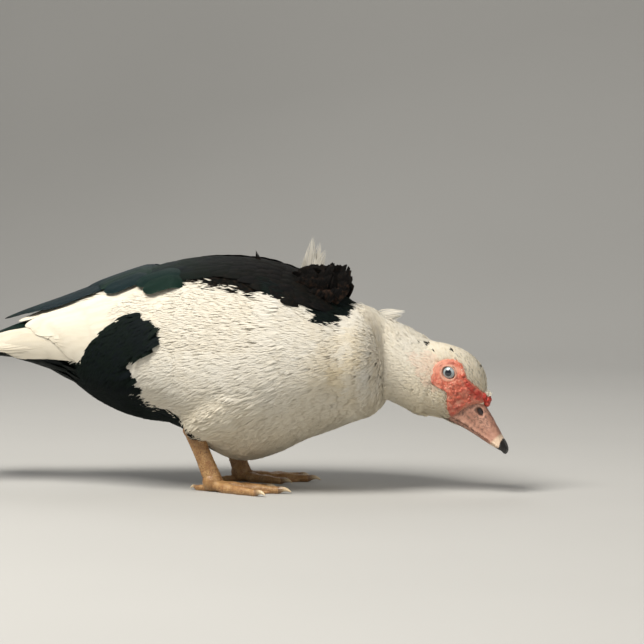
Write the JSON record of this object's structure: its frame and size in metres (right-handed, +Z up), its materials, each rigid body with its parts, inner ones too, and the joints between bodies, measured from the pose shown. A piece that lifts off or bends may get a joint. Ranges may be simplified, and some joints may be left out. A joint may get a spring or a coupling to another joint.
{
  "type": "muscovy duck",
  "caption": "Life-size still model of a pied muscovy duck standing with its head stretched low and bill pointing down.",
  "frame": {"origin": "on the floor, under the middle of the bird's own box", "axes": "+X from tail to bill, +Y to the bird's left, +Z up"},
  "size_m": [0.5386, 0.1834, 0.2212],
  "materials": {
    "white_plumage": "soft matt contour feathers, warm white",
    "dark_plumage": "black-brown feathers with a faint green gloss",
    "green_plumage": "glossy dark green to blue-green feathers",
    "bare_skin": "bare coral red skin with small caruncles",
    "bill_horn": "pink bill mottled with grey brown",
    "nail_horn": "black bill nail",
    "eye": "clear wet eye with a pale blue-grey iris",
    "leg_scales": "ochre scaled legs, toes and webs",
    "claw_horn": "pale horn claws"
  },
  "bodies": {
    "root": {"torso": "white_plumage", "rump": "dark_plumage", "tail": "dark_plumage", "mantle": "dark_plumage", "scapulars_right": "green_plumage", "scapulars_left": "green_plumage", "wing_right": "white_plumage", "wing_left": "white_plumage", "neck": "white_plumage", "head": "white_plumage", "face_right": "bare_skin", "face_left": "bare_skin", "caruncle_knob": "bare_skin", "eye_right": "eye", "eye_left": "eye", "bill_upper": "bill_horn", "bill_lower": "bill_horn", "bill_nail": "nail_horn", "thigh_right": "white_plumage", "thigh_left": "white_plumage", "shank_right": "leg_scales", "shank_left": "leg_scales", "foot_right": "leg_scales", "foot_left": "leg_scales", "claw_right_inner": "claw_horn", "claw_right_middle": "claw_horn", "claw_right_outer": "claw_horn", "claw_right_hind": "claw_horn", "claw_left_inner": "claw_horn", "claw_left_middle": "claw_horn", "claw_left_outer": "claw_horn", "claw_left_hind": "claw_horn"}
  },
  "joints": []
}
